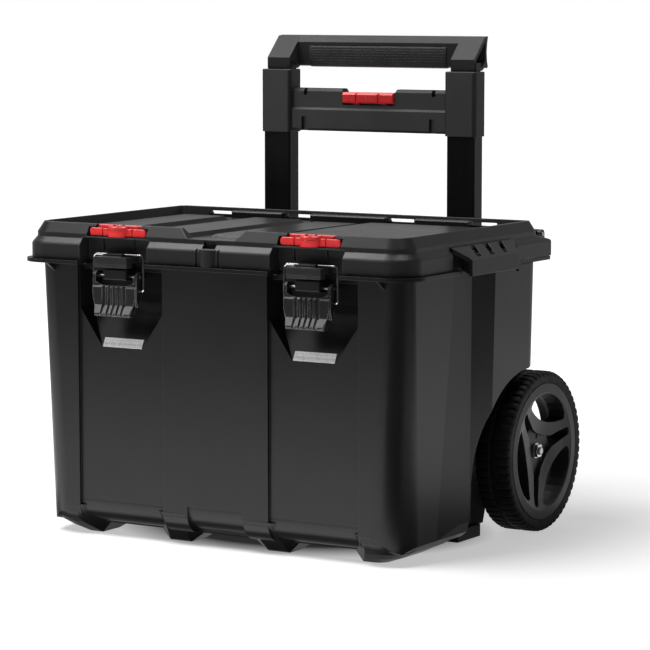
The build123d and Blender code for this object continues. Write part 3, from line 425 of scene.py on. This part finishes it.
w = bpy.data.worlds.new("studio")
bpy.context.scene.world = w
w.use_nodes = True
wt = w.node_tree
wt.nodes.clear()
wo = wt.nodes.new("ShaderNodeOutputWorld")
bg = wt.nodes.new("ShaderNodeBackground")
tc = wt.nodes.new("ShaderNodeTexCoord")
dot = wt.nodes.new("ShaderNodeVectorMath")
dot.operation = "DOT_PRODUCT"
dot.inputs[1].default_value = (0.518, -0.855, 0.0)
wt.links.new(tc.outputs["Generated"], dot.inputs[0])
mr = wt.nodes.new("ShaderNodeMapRange")
mr.interpolation_type = "SMOOTHSTEP"
mr.inputs["From Min"].default_value = -0.95
mr.inputs["From Max"].default_value = -0.35
mr.inputs["To Min"].default_value = 0.45
mr.inputs["To Max"].default_value = 0.035
wt.links.new(dot.outputs["Value"], mr.inputs["Value"])
lp = wt.nodes.new("ShaderNodeLightPath")
mx = wt.nodes.new("ShaderNodeMix")
mx.data_type = "FLOAT"
wt.links.new(lp.outputs["Is Camera Ray"], mx.inputs[0])
wt.links.new(mr.outputs["Result"], mx.inputs[2])
mx.inputs[3].default_value = 1.0
bg.inputs["Color"].default_value = (1.0, 1.0, 1.0, 1.0)
wt.links.new(mx.outputs[0], bg.inputs["Strength"])
wt.links.new(bg.outputs[0], wo.inputs[0])

vs = bpy.context.scene.view_settings
vs.view_transform = "Standard"
vs.look = "None"


# --------------------------------------------------------------------- pieces
def tyre(side):
    """Tyre with a rounded shoulder and two rows of tread blocks."""
    s = 1 if side == "right" else -1
    cx, cy, cz = 256.0 * s, 332.0, 100.0
    RI = TYRE_RI
    N = 60                      # tread blocks round the tyre
    sub = 8                     # slices per block
    prof = [(-21.2, RI), (-22.3, RI + 0.9), (-22.8, 92.0), (-22.9, 95.4), (-21.9, 98.2), (-18.8, 99.85), (-13.0, 99.95), (-4.0, 99.95),
            (-3.2, 98.4), (3.2, 98.4), (4.0, 99.95), (13.0, 99.95), (18.8, 99.85), (21.9, 98.2), (22.9, 95.4), (22.8, 92.0), (22.3, RI + 0.9), (21.2, RI)]
    # depth of the cross grooves at each profile point
    cut = [0, 0, 0.0, 1.6, 2.6, 2.6, 2.2, 1.4, 0, 0, 1.4, 2.2, 2.6, 2.6, 1.6, 0.0, 0, 0]
    verts, faces = [], []
    M = N * sub
    n = len(prof)
    for j in range(M):
        for i, (x, r) in enumerate(prof):
            # the rows are staggered half a block
            ph = (j + (sub // 2 if i > n // 2 - 1 else 0)) % sub
            d = cut[i] if ph in (0, 1) else (cut[i] * 0.12 if ph in (2, 7) else 0.0)
            a = 2 * math.pi * (j + (0.0 if ph not in (1, 2) else 0.0)) / M
            rr = r - d
            verts.append(P(cx + x, cy + rr * math.cos(a), cz + rr * math.sin(a)))
    for j in range(M):
        k = (j + 1) % M
        for i in range(n):
            i2 = (i + 1) % n
            faces.append((j * n + i, j * n + i2, k * n + i2, k * n + i))
    o = new_obj(f"tyre_tread_{side}", verts, faces, MATS["tyre_black"], sharp=32)
    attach(o, f"wheel_{side}")
    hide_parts(f"tyre_{side}")


TYRE_RI = 85.0


def insert_studs():
    """Soft insert of the grip with rows of small pyramid studs."""
    ry = [(393.9, 575.0), (393.9, 594.0), (395.6, 596.6), (397.3, 596.6), (397.3, 575.6), (399.5, 573.2), (408.2, 573.2), (408.2, 569.9), (399.0, 569.1), (395.6, 571.0)]
    verts, faces = [], []
    x0, x1 = -101.4, 101.4
    n = len(ry)
    for x in (x0, x1):
        for y, z in ry:
            verts.append(P(x, y, z))
    for i in range(n):
        j = (i + 1) % n
        faces.append((i, j, n + j, n + i))
    faces.append(tuple(range(n)))
    faces.append(tuple(range(2 * n - 1, n - 1, -1)))

    def stud(cx, o, u, nrm, r, h):
        b = len(verts)
        c = Vector((cx, o[0], o[1]))
        U = Vector((0, u[0], u[1]))
        Nn = Vector((0, nrm[0], nrm[1]))
        X = Vector((1, 0, 0))
        k = 6
        for rr, hh in ((r, -0.05), (r * 0.78, h * 0.7), (r * 0.35, h)):
            for i in range(k):
                a = 2 * math.pi * (i + 0.5) / k
                p = c + X * (rr * math.cos(a)) + U * (rr * math.sin(a)) + Nn * hh
                verts.append(P(p.x, p.y, p.z))
        for ring in range(2):
            for i in range(k):
                j = (i + 1) % k
                faces.append((b + ring * k + i, b + ring * k + j, b + (ring + 1) * k + j, b + (ring + 1) * k + i))
        faces.append(tuple(b + 2 * k + i for i in range(k)))

    pitch = 3.55
    nx = int(200 / pitch)
    # front face, lower curve and underside
    rows = []
    for i in range(6):
        rows.append(((393.9, 577.2 + 3.3 * i), (0, 1), (-1, 0)))
    d = Vector((395.6 - 393.9, 571.0 - 575.0)).normalized()
    rows.append(((394.75, 573.0), (d.x, d.y), (-0.92, -0.39)))
    d = Vector((399.0 - 395.6, 569.1 - 571.0)).normalized()
    rows.append(((397.3, 570.05), (d.x, d.y), (-0.49, -0.87)))
    for i in range(2):
        rows.append(((401.4 + 3.4 * i, 569.35 + 0.3 * i), (1, 0.09), (0.09, -1)))
    for k, (o, u, nn) in enumerate(rows):
        for i in range(nx + 1):
            x = -nx * pitch / 2 + pitch * i + (pitch / 2 if k % 2 else 0)
            if abs(x) < 99.0:
                stud(x, o, u, nn, 1.25, 0.55)
    o = new_obj("grip_studded_insert", verts, faces, MATS["grip_soft"], sharp=50)
    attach(o, "handle_upper")
    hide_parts("grip_insert")


def screws():
    """Pan-head screws with a cross recess."""
    verts, faces = [], []

    def head(x, z):
        y0 = 328.0
        prof = [(4.2, 0.0), (4.2, 1.0), (3.7, 2.0), (2.6, 2.7), (0.0, 2.95)]
        k = 24
        b = len(verts)
        for r, h in prof[:-1]:
            for i in range(k):
                a = 2 * math.pi * i / k
                rr, hh = r, h
                # four arms of the cross recess
                arm = abs(math.cos(2 * a)) > 0.94 and r < 3.0
                verts.append(P(x + rr * math.cos(a), y0 + (hh - 1.3 if arm else hh), z + rr * math.sin(a)))
        for ring in range(len(prof) - 2):
            for i in range(k):
                j = (i + 1) % k
                faces.append((b + ring * k + i, b + ring * k + j, b + (ring + 1) * k + j, b + (ring + 1) * k + i))
        c = len(verts)
        verts.append(P(x, y0 + 0.9, z))
        for i in range(k):
            faces.append((b + 3 * k + i, b + 3 * k + (i + 1) % k, c))
        c2 = len(verts)
        verts.append(P(x, y0, z))
        for i in range(k):
            faces.append((b + i, c2, b + (i + 1) % k))
        # shank
        b = len(verts)
        for h in (-4.9, 0.2):
            for i in range(12):
                a = 2 * math.pi * i / 12
                verts.append(P(x + 2.1 * math.cos(a), y0 + h, z + 2.1 * math.sin(a)))
        for i in range(12):
            j = (i + 1) % 12
            faces.append((b + i, b + j, b + 12 + j, b + 12 + i))
        faces.append(tuple(b + i for i in range(12)))
        faces.append(tuple(b + 12 + i for i in range(11, -1, -1)))

    for s in (-1, 1):
        for z in (145, 310):
            for dx in (-30, 30):
                head(s * 136.5 + dx, z)
    o = new_obj("guide_screw_heads", verts, faces, MATS["steel_pin"], sharp=30)
    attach(o, "bin")
    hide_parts("guide_screws")


def coil(name, x):
    """One wire spring under the button."""
    turns, R, r = 5.5, 2.7, 0.4
    z0, z1 = 491.65, 499.35
    n, k = 110, 8
    verts, faces = [], []
    for i in range(n + 1):
        t = i / n
        a = 2 * math.pi * turns * t
        c = Vector((x + R * math.cos(a), 380.2 + R * math.sin(a), z0 + (z1 - z0) * t))
        tan = Vector((-math.sin(a), math.cos(a), (z1 - z0) / (2 * math.pi * turns * R))).normalized()
        u = Vector((math.cos(a), math.sin(a), 0))
        v = tan.cross(u)
        for j in range(k):
            b = 2 * math.pi * j / k
            p = c + u * (r * math.cos(b)) + v * (r * math.sin(b))
            verts.append(P(p.x, p.y, p.z))
    for i in range(n):
        for j in range(k):
            j2 = (j + 1) % k
            faces.append((i * k + j, i * k + j2, (i + 1) * k + j2, (i + 1) * k + j))
    faces.append(tuple(range(k)))
    faces.append(tuple(n * k + j for j in range(k - 1, -1, -1)))
    return verts, faces


def springs():
    verts, faces = [], []
    for x in (-20, 20):
        v, f = coil("s", x)
        b = len(verts)
        verts += v
        faces += [tuple(i + b for i in q) for q in f]
    o = new_obj("button_coil_springs", verts, faces, MATS["steel_pin"], sharp=60)
    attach(o, "handle_lower")
    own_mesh(o)
    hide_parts("button_springs")


tyre("left")
tyre("right")
insert_studs()
screws()
springs()

# the soft boxes light the object alone, so the floor keeps one soft shadow
RECEIVERS = bpy.data.collections.new("object_receivers")
for o in bpy.context.scene.objects:
    if o.type == "MESH" and o != FLOOR:
        RECEIVERS.objects.link(o)
for o in bpy.context.scene.objects:
    if o.type == "LIGHT" and o.light_linking.receiver_collection is None:
        o.light_linking.receiver_collection = RECEIVERS
